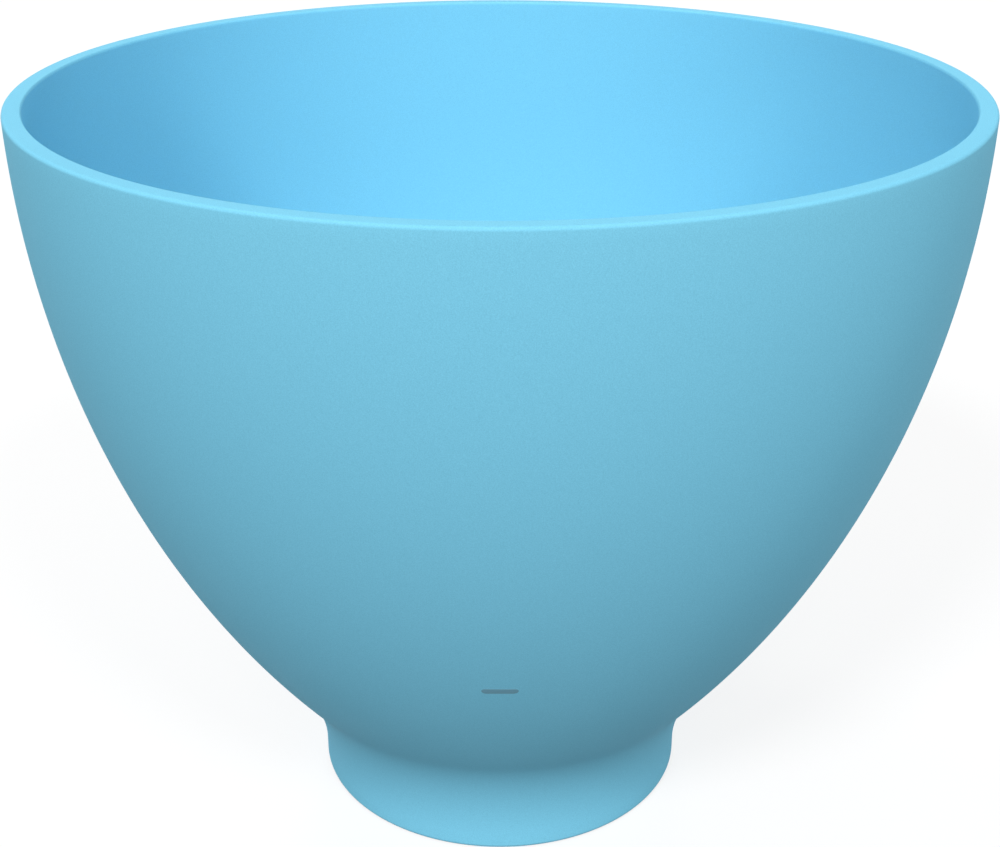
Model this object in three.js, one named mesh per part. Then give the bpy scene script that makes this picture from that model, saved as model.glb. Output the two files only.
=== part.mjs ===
// A flexible plaster mixing bowl: one moulding with a curved wall, a square-cut rim and a flared foot.
// Millimetres, +Z up. The origin is the middle of the face it stands on, and the front looks towards -Y.
import * as THREE from "three";

// Outside of the moulding
const RIM_DIAMETER = 140;
const HEIGHT = 115.2;
const FOOT_DIAMETER = 60.1;
const FOOT_BAND_HEIGHT = 2.9; // upright band just above the table
const FLARE_RADIUS = 26.75; // hollow curve from the foot's band up to the wall
const FOOT_EDGE_RADIUS = 0.7;

// Wall, rim and floor
const RIM_WALL = 2.7;
const WALL_AT_FLARE = 4; // where the wall meets the flare
const FLOOR_WALL = 4.5;
const RIM_OUTER_EDGE_RADIUS = 0.5;
const RIM_INNER_EDGE_RADIUS = 0.35;

// Hollow under the foot, which leaves a ring to stand on
const FOOT_WALL = 4.2;
const HOLLOW_HEIGHT = 5.5; // from the table to the lowest point of its domed roof
const HOLLOW_CORNER_RADIUS = 2.5;

// Plain bar printed low on the front of the wall
const BAR_LENGTH = 5;
const BAR_WIDTH = 1.3;
const BAR_THICKNESS = 0.2;
const BAR_CENTRE_HEIGHT = 45.4;
const BAR_CLEARANCE = 0.1; // between the bar's back and the wall

// Fineness of the facets
const FACETS_AROUND = 72;
const WALL_DEGREES = 4;
const FLOOR_DEGREES = 7.5;
const FLARE_DEGREES = 8;
const CORNER_DEGREES = 30;
const EDGE_DEGREES = 45;
const BAR_OUTLINE_POINTS = 36;
const LEAST_FACETS = 2; // on any arc, however short
const SAME_POINT = 1e-6; // points nearer than this are one

// Finishes
const SILICONE_RUBBER = { color: 0x7bc9e7, roughness: 0.55, metalness: 0 };
const PRINTING_INK = { color: 0x5f8798, roughness: 0.6, metalness: 0 };

// A circle in the section plane: x is the distance from the axis and y is the height.
const circle = (x, y, radius) => ({ centre: new THREE.Vector2(x, y), radius });

// The angle at which a circle's centre sees another point.
const angleTo = (from, point) => Math.atan2(point.y - from.centre.y, point.x - from.centre.x);

// Points along a circle from one angle to another, the short way round.
function arcPoints({ centre, radius }, start, end, degreesPerFacet) {
  const turn = THREE.MathUtils.euclideanModulo(end - start + Math.PI, 2 * Math.PI) - Math.PI;
  const wanted = Math.ceil(THREE.MathUtils.radToDeg(Math.abs(turn)) / degreesPerFacet);
  const facets = Math.max(LEAST_FACETS, wanted);
  const curve = new THREE.EllipseCurve(centre.x, centre.y, radius, radius, start, start + turn, turn < 0);
  return curve.getPoints(facets);
}

// Angles that edges turn through
const OUT = 0;
const UP = Math.PI / 2;
const IN = Math.PI;
const DOWN = -Math.PI / 2;

const rimRadius = RIM_DIAMETER / 2;
const footRadius = FOOT_DIAMETER / 2;

// The flare stands on the foot's band. The outside wall is the one arc that is upright at the rim and runs
// into the flare without a kink: the distance between their centres is the sum of their radii.
const flare = circle(footRadius + FLARE_RADIUS, FOOT_BAND_HEIGHT, FLARE_RADIUS);
const flareToRim = new THREE.Vector2(flare.centre.x - rimRadius, HEIGHT - flare.centre.y);
const wallRadius = (flareToRim.lengthSq() - FLARE_RADIUS ** 2) / (2 * (rimRadius - footRadius));
const wall = circle(rimRadius - wallRadius, HEIGHT, wallRadius);
const wallMeetsFlare = angleTo(wall, flare.centre);

// A point of the section on the outside wall, or a given distance off it.
function wallPoint(angle, distanceOff = 0) {
  const reach = wall.radius + distanceOff;
  return new THREE.Vector2(Math.cos(angle), Math.sin(angle)).multiplyScalar(reach).add(wall.centre);
}

// The inside wall is also upright at the rim, and lies WALL_AT_FLARE in from where the wall meets the flare.
function insideWall() {
  const mouthRadius = rimRadius - RIM_WALL;
  const low = wallPoint(wallMeetsFlare, -WALL_AT_FLARE);
  const depth = HEIGHT - low.y;
  const centreX = (mouthRadius ** 2 - low.x ** 2 - depth ** 2) / (2 * (mouthRadius - low.x));
  return circle(centreX, HEIGHT, mouthRadius - centreX);
}
const inside = insideWall();

// The floor is a round dish, centred on the axis and touching the inside wall without a kink.
function insideFloor() {
  const depth = HEIGHT - HOLLOW_HEIGHT - FLOOR_WALL;
  const radius =
    (inside.radius ** 2 - inside.centre.x ** 2 - depth ** 2) / (2 * (inside.radius - depth));
  return circle(0, HEIGHT - depth + radius, radius);
}
const floor = insideFloor();
const insideMeetsFloor = angleTo(inside, floor.centre);

// The rim's two edges are rounded within the wall. A rounding's centre lies reach away from the centre of the
// side that it rounds off.
function rimEdge(side, reach, edgeRadius) {
  const x = side.centre.x + Math.sqrt(reach ** 2 - edgeRadius ** 2);
  return circle(x, HEIGHT - edgeRadius, edgeRadius);
}
const rimOuterEdge = rimEdge(wall, wall.radius - RIM_OUTER_EDGE_RADIUS, RIM_OUTER_EDGE_RADIUS);
const rimInnerEdge = rimEdge(inside, inside.radius + RIM_INNER_EDGE_RADIUS, RIM_INNER_EDGE_RADIUS);

// The foot's ring has the same kind of rounding at its outer and its inner edge.
const hollowRadius = footRadius - FOOT_WALL;
const footOuterEdge = circle(footRadius - FOOT_EDGE_RADIUS, FOOT_EDGE_RADIUS, FOOT_EDGE_RADIUS);
const footInnerEdge = circle(hollowRadius + FOOT_EDGE_RADIUS, FOOT_EDGE_RADIUS, FOOT_EDGE_RADIUS);

// The hollow's roof follows the floor, FLOOR_WALL below it, and a rounded corner takes it into the foot's
// ring.
const roof = circle(0, floor.centre.y, floor.radius + FLOOR_WALL);
function hollowCorner() {
  const x = hollowRadius - HOLLOW_CORNER_RADIUS;
  const reach = roof.radius + HOLLOW_CORNER_RADIUS;
  return circle(x, roof.centre.y - Math.sqrt(reach ** 2 - x ** 2), HOLLOW_CORNER_RADIUS);
}
const corner = hollowCorner();
const roofMeetsCorner = angleTo(roof, corner.centre);

// Half section of the moulding: from the axis under the floor across the foot, up the outside, over the rim
// and down the inside to the middle of the floor.
function bowlSection() {
  const wallMeetsRim = angleTo(wall, rimOuterEdge.centre);
  const insideMeetsRim = angleTo(inside, rimInnerEdge.centre);
  const points = [
    arcPoints(roof, DOWN, roofMeetsCorner, FLOOR_DEGREES),
    arcPoints(corner, roofMeetsCorner + Math.PI, OUT, CORNER_DEGREES),
    arcPoints(footInnerEdge, IN, DOWN, EDGE_DEGREES),
    arcPoints(footOuterEdge, DOWN, OUT, EDGE_DEGREES),
    arcPoints(flare, IN, wallMeetsFlare + Math.PI, FLARE_DEGREES),
    arcPoints(wall, wallMeetsFlare, wallMeetsRim, WALL_DEGREES),
    arcPoints(rimOuterEdge, wallMeetsRim, UP, EDGE_DEGREES),
    arcPoints(rimInnerEdge, UP, insideMeetsRim + Math.PI, EDGE_DEGREES),
    arcPoints(inside, insideMeetsRim, insideMeetsFloor, WALL_DEGREES),
    arcPoints(floor, insideMeetsFloor, DOWN, FLOOR_DEGREES),
  ].flat();
  points.at(0).x = 0;
  points.at(-1).x = 0;
  return points.filter((point, i) => i === 0 || point.distanceTo(points[i - 1]) > SAME_POINT);
}

// The section turned about the axis. A lathe turns about Y, so the result is stood up to turn about Z.
function bowlGeometry() {
  return new THREE.LatheGeometry(bowlSection(), FACETS_AROUND).rotateX(Math.PI / 2);
}

// A bar with round ends, flat at first and then laid round the wall.
function barGeometry() {
  const endRadius = BAR_WIDTH / 2;
  const endX = BAR_LENGTH / 2 - endRadius;
  const outline = new THREE.Shape();
  outline.absarc(endX, 0, endRadius, DOWN, UP);
  outline.absarc(-endX, 0, endRadius, UP, UP + Math.PI);
  const spaced = new THREE.Shape(outline.getSpacedPoints(BAR_OUTLINE_POINTS));
  return layOnWall(new THREE.ExtrudeGeometry(spaced, { depth: BAR_THICKNESS, bevelEnabled: false }));
}

// Lays a flat geometry on the front of the wall: its x runs round the wall, its y up the wall, its z off it.
function layOnWall(geometry) {
  const middle = Math.asin((BAR_CENTRE_HEIGHT - HEIGHT) / wall.radius);
  const middleRadius = wallPoint(middle).x;
  const position = geometry.getAttribute("position");
  const point = new THREE.Vector3();
  for (let i = 0; i < position.count; i++) {
    point.fromBufferAttribute(position, i);
    const round = point.x / middleRadius;
    const section = wallPoint(middle + point.y / wall.radius, BAR_CLEARANCE + point.z);
    position.setXYZ(i, section.x * Math.sin(round), -section.x * Math.cos(round), section.y);
  }
  geometry.computeVertexNormals();
  return geometry;
}

// Each sub-part is one mesh with a name and a finish of its own.
function subPart(name, geometry, finish) {
  const mesh = new THREE.Mesh(geometry, new THREE.MeshStandardMaterial(finish));
  mesh.name = name;
  return mesh;
}

const plasterBowl = new THREE.Group();
plasterBowl.add(subPart("bowl", bowlGeometry(), SILICONE_RUBBER));
plasterBowl.add(subPart("printed_bar", barGeometry(), PRINTING_INK));

export default plasterBowl;
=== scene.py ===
"""A flexible plaster mixing bowl of sky-blue silicone, on a white studio floor.

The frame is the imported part's: +Z up, the origin in the middle of the face it stands on, the front towards
-Y. Coordinates are metres, and named sizes are millimetres times MM.
"""

import bpy
import numpy as np
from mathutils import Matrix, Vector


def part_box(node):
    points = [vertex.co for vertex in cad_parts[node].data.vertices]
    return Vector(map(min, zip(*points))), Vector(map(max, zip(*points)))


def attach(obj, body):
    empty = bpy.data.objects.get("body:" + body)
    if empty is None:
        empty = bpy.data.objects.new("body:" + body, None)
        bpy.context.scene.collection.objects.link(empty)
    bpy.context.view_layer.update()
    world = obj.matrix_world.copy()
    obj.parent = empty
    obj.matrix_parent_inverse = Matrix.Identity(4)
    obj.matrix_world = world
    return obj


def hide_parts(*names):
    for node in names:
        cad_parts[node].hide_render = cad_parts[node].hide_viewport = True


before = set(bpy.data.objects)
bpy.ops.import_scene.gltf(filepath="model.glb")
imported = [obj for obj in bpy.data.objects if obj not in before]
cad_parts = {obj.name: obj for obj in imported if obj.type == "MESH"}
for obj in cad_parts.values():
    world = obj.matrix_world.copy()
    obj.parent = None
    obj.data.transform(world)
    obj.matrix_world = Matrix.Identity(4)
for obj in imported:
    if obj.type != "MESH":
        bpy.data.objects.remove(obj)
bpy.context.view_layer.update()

MM = 0.001

# Outside of the moulding
bowl_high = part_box("bowl")[1]
RIM_RADIUS = bowl_high.x
HEIGHT = bowl_high.z
FOOT_RADIUS = 30.05 * MM
FOOT_BAND_HEIGHT = 2.9 * MM  # upright band just above the table
FLARE_RADIUS = 26.75 * MM  # hollow curve from the foot's band up to the wall
FOOT_EDGE_RADIUS = 0.7 * MM

# Wall, rim and floor of the moulding
RIM_WALL = 2.7 * MM
WALL_AT_FLARE = 4 * MM
FLOOR_WALL = 4.5 * MM
RIM_OUTER_EDGE_RADIUS = 0.5 * MM
RIM_BEVEL_WIDTH = 0.26 * MM  # across the rim's inner edge
RIM_BEVEL_DROP = 0.42 * MM  # down the inside wall
RIM_BEVEL_POWER = 1.6  # 1 gives a flat bevel and 2 a round one

# Hollow under the foot
FOOT_WALL = 4.2 * MM
HOLLOW_HEIGHT = 5.5 * MM
HOLLOW_CORNER_RADIUS = 2.5 * MM

# Film of ink low on the front of the wall
bar_low, bar_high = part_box("printed_bar")
BAR_LENGTH = bar_high.x - bar_low.x
BAR_WIDTH = 1.3 * MM
BAR_MIDDLE_HEIGHT = (bar_low.z + bar_high.z) / 2
INK_THICKNESS = 0.06 * MM
INK_SUNK = 0.04 * MM  # the film's back lies in the wall, so no gap shows

# Fineness of the meshes
POINTS_AROUND = 300
WALL_STEP = 1.5 * MM
FLARE_STEP = 0.75 * MM
FLAT_STEP = 0.3 * MM
EDGE_STEP = 0.1 * MM
BEVEL_STEP = EDGE_STEP / 3
CORNER_STEP = 0.4 * MM
LEAST_POINTS = 3  # on any arc, however short
BAR_POINTS_AROUND = 96
BAR_RINGS = 12
INK_EDGE_POWER = 8  # how squarely the film ends at its edge

# Silicone. Its real grain is about 0.08 mm wide, drawn coarser here so that it shows.
GRAIN_WIDTH = 0.14 * MM
GRAIN_DEPTH = 0.1 * MM
GRAIN_STRENGTH = 0.12
GRAIN_DETAIL = 2
CLOUD_WIDTH = 9 * MM
CLOUD_DETAIL = 3
SILICONE_BLUES = ("#6DBAD8", "#8BDBF7")  # in the grain's pits and on its tops
SILICONE_ROUGHNESS = (0.64, 0.76)  # in the smoother clouds and between them
SILICONE_IOR = 1.41
SILICONE_GLOSS = 0.125  # the grain breaks up most of the gloss that a smooth skin has

# Ink. Its real screen is finer too, and drawn as wide as it needs to show.
SCREEN_WIDTH = 0.3 * MM
SCREEN_DETAIL = 2
INK_BLUES = ("#6397AB", "#6B9FB5")  # where the wall shows through most and least
INK_ROUGHNESS = 0.6
INK_IOR = 1.45
INK_GLOSS = 0.25

# Camera at the photograph's place: straight in front, above the rim and tipped down
CAMERA_LENS = 56.6885
SENSOR_WIDTH = 36
CAMERA_BACK = 229.329 * MM  # from the bowl's axis
CAMERA_ABOVE_RIM = 50.225 * MM
CAMERA_TIPPED_DOWN = np.radians(24.5886)
CAMERA_CLIP_START = 1 * MM

QUARTER_TURN = np.pi / 2

# Angles in the section plane
OUT = 0
UP = QUARTER_TURN
IN = np.pi
DOWN = -QUARTER_TURN


def angle_to(start, end):
    """The angle at which one point of the section plane sees another."""
    return np.arctan2(end[1] - start[1], end[0] - start[0])


def arc(centre, radius, start, end, step):
    """Points of a circle: centre + radius (cos a, sin a), with a going evenly from start to end, so that
    neighbours lie step apart or less."""
    count = int(np.ceil(abs(end - start) * radius / step)) + 1
    angle = np.linspace(start, end, max(count, LEAST_POINTS))
    return np.stack([centre[0] + radius * np.cos(angle), centre[1] + radius * np.sin(angle)], axis=1)


def bevel(top, low, power, step):
    """Points of a rounded bevel from a level top to an upright side. With w and d its width and drop, it is
    the curve (x / w)^power + (y / d)^power = 1, taken as x = w sin(a)^(2 / power) and
    y = d cos(a)^(2 / power), with a going evenly from 0 to a quarter turn."""
    width, drop = top[0] - low[0], top[1] - low[1]
    angle = np.linspace(0, QUARTER_TURN, int(np.ceil((width + drop) / step)) + 1)
    x = top[0] - width * np.sin(angle) ** (2 / power)
    y = low[1] + drop * np.abs(np.cos(angle)) ** (2 / power)
    return np.stack([x, y], axis=1)


def straight(start, end, step):
    """Points strictly between two points of the section plane, evenly spaced and step apart or less."""
    count = int(np.ceil(np.hypot(*np.subtract(end, start)) / step)) + 1
    return np.linspace(start, end, count)[1:-1]


# Circles of the section, each a centre (distance from the axis, height) and a radius. The wall is upright
# at the rim and runs into the flare without a kink: their centres lie the sum of their radii apart.
flare_centre = (FOOT_RADIUS + FLARE_RADIUS, FOOT_BAND_HEIGHT)
wall_radius = (
    (flare_centre[0] - RIM_RADIUS) ** 2 + (HEIGHT - flare_centre[1]) ** 2 - FLARE_RADIUS**2
) / (2 * (RIM_RADIUS - FOOT_RADIUS))
wall_centre = (RIM_RADIUS - wall_radius, HEIGHT)


def bowl_section():
    """Half section of the moulding, from the axis under the floor round the foot, up the outside, over the
    rim and down the inside to the middle of the floor: circle arcs that run into each other, with straight
    flats between them and a bevel on the rim's inner edge."""
    wall_meets_flare = angle_to(wall_centre, flare_centre)

    # The inside wall is upright at the rim too, and lies WALL_AT_FLARE in from where the wall meets the
    # flare.
    mouth_radius = RIM_RADIUS - RIM_WALL
    low_x = wall_centre[0] + (wall_radius - WALL_AT_FLARE) * np.cos(wall_meets_flare)
    low_depth = -(wall_radius - WALL_AT_FLARE) * np.sin(wall_meets_flare)
    inside_x = (mouth_radius**2 - low_x**2 - low_depth**2) / (2 * (mouth_radius - low_x))
    inside_centre, inside_radius = (inside_x, HEIGHT), mouth_radius - inside_x

    # The floor is a dish centred on the axis that touches the inside wall.
    depth = HEIGHT - HOLLOW_HEIGHT - FLOOR_WALL
    floor_radius = (inside_radius**2 - inside_x**2 - depth**2) / (2 * (inside_radius - depth))
    floor_centre = (0, HEIGHT - depth + floor_radius)
    inside_meets_floor = angle_to(inside_centre, floor_centre)

    # Edges of the rim and of the foot
    outer_reach = np.sqrt((wall_radius - RIM_OUTER_EDGE_RADIUS) ** 2 - RIM_OUTER_EDGE_RADIUS**2)
    rim_outer = (wall_centre[0] + outer_reach, HEIGHT - RIM_OUTER_EDGE_RADIUS)
    bevel_low = (inside_x + np.sqrt(inside_radius**2 - RIM_BEVEL_DROP**2), HEIGHT - RIM_BEVEL_DROP)
    bevel_top = (bevel_low[0] + RIM_BEVEL_WIDTH, HEIGHT)
    hollow_radius = FOOT_RADIUS - FOOT_WALL
    foot_outer = (FOOT_RADIUS - FOOT_EDGE_RADIUS, FOOT_EDGE_RADIUS)
    foot_inner = (hollow_radius + FOOT_EDGE_RADIUS, FOOT_EDGE_RADIUS)

    # The roof of the hollow follows the floor, and a rounded corner takes it down into the foot's ring.
    roof_radius = floor_radius + FLOOR_WALL
    corner_x = hollow_radius - HOLLOW_CORNER_RADIUS
    corner_drop = np.sqrt((roof_radius + HOLLOW_CORNER_RADIUS) ** 2 - corner_x**2)
    corner = (corner_x, floor_centre[1] - corner_drop)
    roof_meets_corner = angle_to(floor_centre, corner)

    wall_meets_rim = angle_to(wall_centre, rim_outer)
    inside_meets_rim = angle_to(inside_centre, bevel_low)
    return np.concatenate([
        arc(floor_centre, roof_radius, DOWN, roof_meets_corner, WALL_STEP),
        arc(corner, HOLLOW_CORNER_RADIUS, roof_meets_corner + np.pi, OUT, CORNER_STEP)[1:],
        straight((hollow_radius, corner[1]), (hollow_radius, FOOT_EDGE_RADIUS), FLAT_STEP),
        arc(foot_inner, FOOT_EDGE_RADIUS, IN, IN + UP, EDGE_STEP),
        straight((foot_inner[0], 0), (foot_outer[0], 0), FLAT_STEP),
        arc(foot_outer, FOOT_EDGE_RADIUS, DOWN, OUT, EDGE_STEP),
        straight((FOOT_RADIUS, FOOT_EDGE_RADIUS), (FOOT_RADIUS, FOOT_BAND_HEIGHT), FLAT_STEP),
        arc(flare_centre, FLARE_RADIUS, IN, wall_meets_flare + np.pi, FLARE_STEP),
        arc(wall_centre, wall_radius, wall_meets_flare, wall_meets_rim, WALL_STEP)[1:],
        arc(rim_outer, RIM_OUTER_EDGE_RADIUS, wall_meets_rim, UP, EDGE_STEP)[1:],
        straight((rim_outer[0], HEIGHT), bevel_top, FLAT_STEP),
        bevel(bevel_top, bevel_low, RIM_BEVEL_POWER, BEVEL_STEP),
        arc(inside_centre, inside_radius, inside_meets_rim, inside_meets_floor, WALL_STEP)[1:],
        arc(floor_centre, floor_radius, inside_meets_floor, DOWN, WALL_STEP)[1:],
    ])


def closed_skin(name, first_pole, rings, last_pole):
    """A closed mesh from a grid of rings, an array (ring, place round the ring, xyz), whose two ends are
    closed by fans of triangles to a pole. Places go anticlockwise as seen from the last pole's side, so
    faces point out."""
    ring_count, around = rings.shape[:2]
    place = np.arange(around)
    following = np.roll(place, -1)
    first, last = ring_count * around, ring_count * around + 1
    start = np.arange(ring_count - 1)[:, None] * around
    below = [start + place, start + following]
    above = [start + around + following, start + around + place]
    quads = np.stack(below + above, axis=-1)
    end = (ring_count - 1) * around
    first_fan = np.stack([np.full(around, first), following, place], axis=-1)
    last_fan = np.stack([end + place, end + following, np.full(around, last)], axis=-1)
    mesh = bpy.data.meshes.new(name)
    vertices = np.concatenate([rings.reshape(-1, 3), [first_pole, last_pole]])
    faces = quads.reshape(-1, 4).tolist() + first_fan.tolist() + last_fan.tolist()
    mesh.from_pydata(vertices.tolist(), [], faces)
    mesh.shade_smooth()
    piece = bpy.data.objects.new(name, mesh)
    bpy.context.scene.collection.objects.link(piece)
    return piece


def turned_bowl():
    """The section turned about Z: its point (r, z) at angle a lies at (r sin a, -r cos a, z)."""
    section = bowl_section()
    angle = np.linspace(0, 2 * np.pi, POINTS_AROUND, endpoint=False)
    r, z = section[1:-1, 0, None], section[1:-1, 1, None]
    rings = np.stack(np.broadcast_arrays(r * np.sin(angle), -r * np.cos(angle), z), axis=-1)
    return closed_skin("bowl_skin", (0, 0, section[0, 1]), rings, (0, 0, section[-1, 1]))


def on_wall(across, along, proud):
    """Points on the front of the outside wall: across metres round it, along metres up it from the bar's
    middle and proud metres off it. A point is (w sin a, -w cos a, z), where (w, z) is the wall's centre
    plus (wall radius + proud) (cos b, sin b). Here a is across over the wall's distance from the axis at
    the bar's middle, and b is the wall's own angle there plus along over the wall radius."""
    middle = np.arcsin((BAR_MIDDLE_HEIGHT - HEIGHT) / wall_radius)
    middle_radius = wall_centre[0] + wall_radius * np.cos(middle)
    b = middle + along / wall_radius
    w = wall_centre[0] + (wall_radius + proud) * np.cos(b)
    a = across / middle_radius
    return np.stack([w * np.sin(a), -w * np.cos(a), HEIGHT + (wall_radius + proud) * np.sin(b)], axis=-1)


def ink_bar():
    """A thin film with round ends: its outline is a segment's ends plus half a width of circle, its rings
    are the outline times s, from 0 in the middle to 1 at the edge, and its front stands INK_THICKNESS
    sqrt(1 - s^INK_EDGE_POWER) proud. The back is the same rings, INK_SUNK inside the wall."""
    turn = np.linspace(0, 2 * np.pi, BAR_POINTS_AROUND, endpoint=False)
    end = np.sign(np.cos(turn)) * (BAR_LENGTH - BAR_WIDTH) / 2
    outline = np.stack([end + np.cos(turn) * BAR_WIDTH / 2, np.sin(turn) * BAR_WIDTH / 2], axis=-1)
    share = np.sin(np.linspace(0, QUARTER_TURN, BAR_RINGS + 1)[1:])
    back, front = share[:, None], share[::-1, None]
    back_proud = np.full_like(back, -INK_SUNK)
    front_proud = INK_THICKNESS * np.sqrt(1 - front**INK_EDGE_POWER)
    s = np.concatenate([back, front])
    proud = np.concatenate([back_proud, front_proud])
    rings = on_wall(s * outline[:, 0], s * outline[:, 1], np.broadcast_to(proud, (len(s), len(turn))))
    first = on_wall(np.float64(0), np.float64(0), np.float64(-INK_SUNK))
    last = on_wall(np.float64(0), np.float64(0), np.float64(INK_THICKNESS))
    return closed_skin("ink_bar", first, rings, last)


def linear(hex_colour):
    """An sRGB hex colour as linear red, green and blue, by sRGB's own curve, and an alpha of 1."""
    srgb = np.array([int(hex_colour[i:i + 2], 16) for i in (1, 3, 5)]) / 255
    value = np.where(srgb <= 0.04045, srgb / 12.92, ((srgb + 0.055) / 1.055) ** 2.4)
    return (*value, 1)


def add(tree, kind, inputs=None, **settings):
    """Adds one node. Settings are its properties, and inputs are its sockets' values or the sockets linked
    to them."""
    made = tree.nodes.new(kind)
    for name, value in settings.items():
        setattr(made, name, value)
    for name, value in (inputs or {}).items():
        if isinstance(value, bpy.types.NodeSocket):
            tree.links.new(value, made.inputs[name])
        else:
            made.inputs[name].default_value = value
    return made


def new_tree(name):
    """A new material and its empty node tree."""
    material = bpy.data.materials.new(name)
    material.use_nodes = True
    material.node_tree.nodes.clear()
    return material, material.node_tree


def moulded_silicone():
    """Silicone rubber cast in a finely blasted mould: one pigment right through, a matt skin with hardly
    any gloss, a fine grain that the mould left on it, and faint clouds where the skin came away
    smoother."""
    material, tree = new_tree("moulded_silicone_rubber")
    place = add(tree, "ShaderNodeTexCoord").outputs["Object"]
    grain = add(tree, "ShaderNodeTexNoise", {
        "Vector": place, "Scale": 1 / GRAIN_WIDTH, "Detail": GRAIN_DETAIL,
    })
    cloud = add(tree, "ShaderNodeTexNoise", {
        "Vector": place, "Scale": 1 / CLOUD_WIDTH, "Detail": CLOUD_DETAIL,
    })
    tint = add(tree, "ShaderNodeMix", {
        "Factor": grain.outputs["Fac"], "A": linear(SILICONE_BLUES[0]), "B": linear(SILICONE_BLUES[1]),
    }, data_type="RGBA")
    rough = add(tree, "ShaderNodeMapRange", {
        "Value": cloud.outputs["Fac"], "To Min": SILICONE_ROUGHNESS[0], "To Max": SILICONE_ROUGHNESS[1],
    })
    bump = add(tree, "ShaderNodeBump", {
        "Height": grain.outputs["Fac"], "Strength": GRAIN_STRENGTH, "Distance": GRAIN_DEPTH,
    })
    shader = add(tree, "ShaderNodeBsdfPrincipled", {
        "Base Color": tint.outputs["Result"], "Roughness": rough.outputs["Result"],
        "Normal": bump.outputs["Normal"], "IOR": SILICONE_IOR, "Specular IOR Level": SILICONE_GLOSS,
    })
    add(tree, "ShaderNodeOutputMaterial", {"Surface": shader.outputs["BSDF"]})
    return material


def printing_ink():
    """Silicone pad-printing ink: a matt grey-blue film that lets a little of the wall's colour through."""
    material, tree = new_tree("pad_printing_ink")
    place = add(tree, "ShaderNodeTexCoord").outputs["Object"]
    screen = add(tree, "ShaderNodeTexNoise", {
        "Vector": place, "Scale": 1 / SCREEN_WIDTH, "Detail": SCREEN_DETAIL,
    })
    tint = add(tree, "ShaderNodeMix", {
        "Factor": screen.outputs["Fac"], "A": linear(INK_BLUES[0]), "B": linear(INK_BLUES[1]),
    }, data_type="RGBA")
    shader = add(tree, "ShaderNodeBsdfPrincipled", {
        "Base Color": tint.outputs["Result"], "Roughness": INK_ROUGHNESS, "IOR": INK_IOR,
        "Specular IOR Level": INK_GLOSS,
    })
    add(tree, "ShaderNodeOutputMaterial", {"Surface": shader.outputs["BSDF"]})
    return material


# Pieces of the object
bowl = turned_bowl()
bowl.data.materials.append(moulded_silicone())
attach(bowl, "root")
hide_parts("bowl")

bar = ink_bar()
bar.data.materials.append(printing_ink())
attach(bar, "root")
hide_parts("printed_bar")


# Studio
FLOOR_RADIUS = 3
FLOOR_SIDES = 64
FLOOR_DROP = 0.1 * MM  # the floor lies this far under the foot
PAPER_GREYS = ("#595959", "#898989")  # as it throws light on the bowl and as it is seen
WHITE = "#FFFFFF"
FLOOR_TOP_UP = 0.75  # what the seen floor gets on top of the lamps
FLOOR_GLOW = 0.03  # even light from the floor
AMBIENT = 0.426  # even light from all round
SOFT_BOX_ANGLE = np.radians(14)  # how wide a soft box looks from the bowl
# Soft boxes: degrees round from the front, degrees up, and light at the bowl in watts per square metre
SOFT_BOXES = {
    "left_key_box": (-30, 40, 1.6),
    "right_key_box": (30, 40, 0.96),
    "top_box": (0, 42, 0.34),
    "low_right_box": (30, 5, 0.29),
    "back_box": (180, 6, 1.2),
    "high_back_box": (-140, 50, 0.35),
}
UNSEEN_IN_GLOSS = {"back_box"}  # so low behind the bowl that its gleam would run all along the rim


def studio_floor():
    """A flat disc: its corner at angle a is FLOOR_RADIUS (cos a, sin a), and it lies FLOOR_DROP down."""
    angle = np.linspace(0, 2 * np.pi, FLOOR_SIDES, endpoint=False)
    vertices = np.stack([np.cos(angle), np.sin(angle), np.zeros_like(angle)], axis=-1) * FLOOR_RADIUS
    vertices[:, 2] = -FLOOR_DROP
    mesh = bpy.data.meshes.new("studio_floor")
    mesh.from_pydata(vertices.tolist(), [], [list(range(len(angle)))])
    piece = bpy.data.objects.new("studio_floor", mesh)
    bpy.context.scene.collection.objects.link(piece)
    return piece


def seen_directly(tree):
    """A socket that is 1 as the camera, a reflection or a see-through surface sees it, and 0 otherwise."""
    path = add(tree, "ShaderNodeLightPath").outputs
    either = add(tree, "ShaderNodeMath", {
        0: path["Is Camera Ray"], 1: path["Is Glossy Ray"],
    }, operation="MAXIMUM")
    any_of_three = add(tree, "ShaderNodeMath", {
        0: either.outputs[0], 1: path["Is Transmission Ray"],
    }, operation="MAXIMUM")
    return any_of_three.outputs[0]


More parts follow.
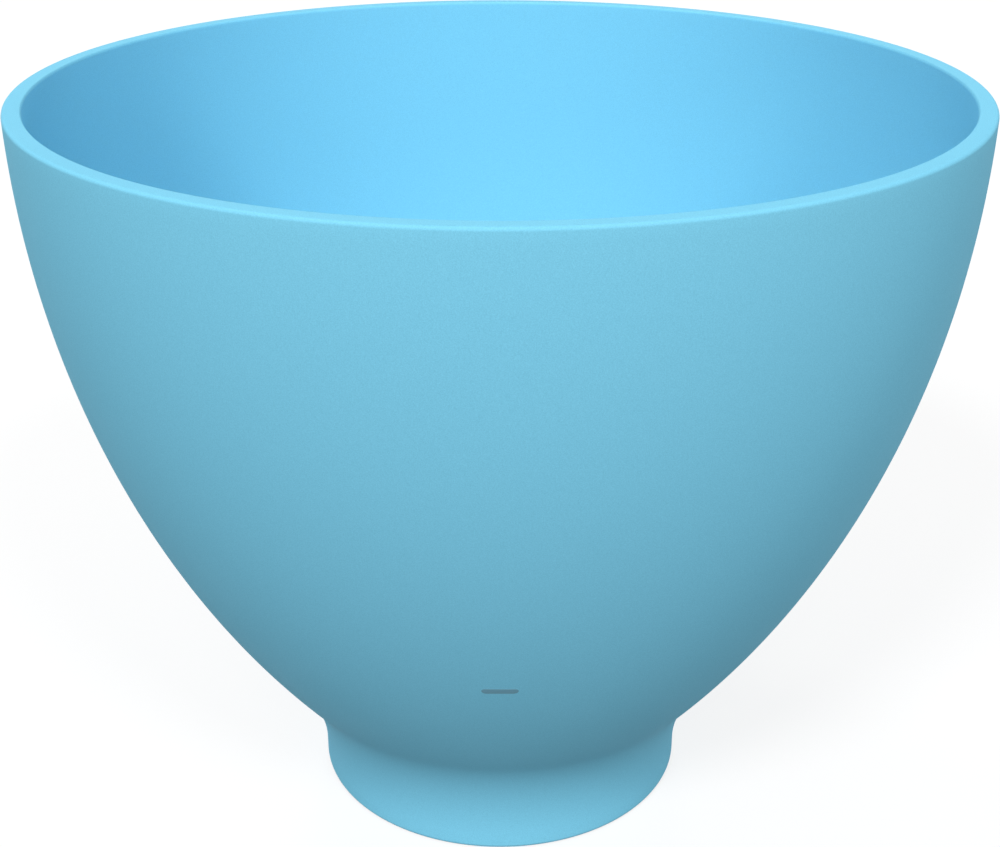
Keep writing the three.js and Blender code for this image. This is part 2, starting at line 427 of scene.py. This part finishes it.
def white_paper():
    """Matt white paper that keeps the bowl's soft shadow. What the lamps leave it short of white is made up
    only as the camera or a reflection sees it. To the bowl it is a grey floor with a weak even glow."""
    material, tree = new_tree("matt_white_paper")
    seen = seen_directly(tree)
    shade = add(tree, "ShaderNodeMix", {
        "Factor": seen, "A": linear(PAPER_GREYS[0]), "B": linear(PAPER_GREYS[1]),
    }, data_type="RGBA")
    paper = add(tree, "ShaderNodeBsdfDiffuse", {"Color": shade.outputs["Result"]})
    strength = add(tree, "ShaderNodeMapRange", {
        "Value": seen, "To Min": FLOOR_GLOW, "To Max": FLOOR_TOP_UP,
    })
    glow = add(tree, "ShaderNodeEmission", {
        "Color": linear(WHITE), "Strength": strength.outputs["Result"],
    })
    both = add(tree, "ShaderNodeAddShader", {0: paper.outputs[0], 1: glow.outputs[0]})
    add(tree, "ShaderNodeOutputMaterial", {"Surface": both.outputs[0]})
    return material


def studio_world():
    """White where the camera or a reflection sees it, and otherwise a weak even light."""
    world = bpy.data.worlds.new("white_studio")
    world.use_nodes = True
    tree = world.node_tree
    tree.nodes.clear()
    strength = add(tree, "ShaderNodeMapRange", {
        "Value": seen_directly(tree), "To Min": AMBIENT, "To Max": 1,
    })
    background = add(tree, "ShaderNodeBackground", {
        "Color": linear(WHITE), "Strength": strength.outputs["Result"],
    })
    add(tree, "ShaderNodeOutputWorld", {"Surface": background.outputs[0]})
    bpy.context.scene.world = world


def soft_box(name, azimuth, elevation, light):
    """A soft box so far off that it lights the whole bowl evenly: a sun lamp as wide as the box looks from
    the bowl."""
    lamp = bpy.data.lights.new(name, "SUN")
    lamp.angle = SOFT_BOX_ANGLE
    lamp.energy = light
    holder = bpy.data.objects.new(name, lamp)
    bpy.context.scene.collection.objects.link(holder)
    holder.rotation_euler = (QUARTER_TURN - np.radians(elevation), 0, np.radians(azimuth))
    holder.visible_glossy = name not in UNSEEN_IN_GLOSS


floor = studio_floor()
floor.data.materials.append(white_paper())
studio_world()
for name, (azimuth, elevation, light) in SOFT_BOXES.items():
    soft_box(name, azimuth, elevation, light)

# Camera
lens = bpy.data.cameras.new("photo_camera")
lens.lens = CAMERA_LENS
lens.sensor_width = SENSOR_WIDTH
lens.clip_start = CAMERA_CLIP_START
camera = bpy.data.objects.new("photo_camera", lens)
bpy.context.scene.collection.objects.link(camera)
camera.location = (0, -CAMERA_BACK, HEIGHT + CAMERA_ABOVE_RIM)
camera.rotation_euler = (QUARTER_TURN - CAMERA_TIPPED_DOWN, 0, 0)
bpy.context.scene.camera = camera
bpy.context.scene.view_settings.view_transform = "Standard"
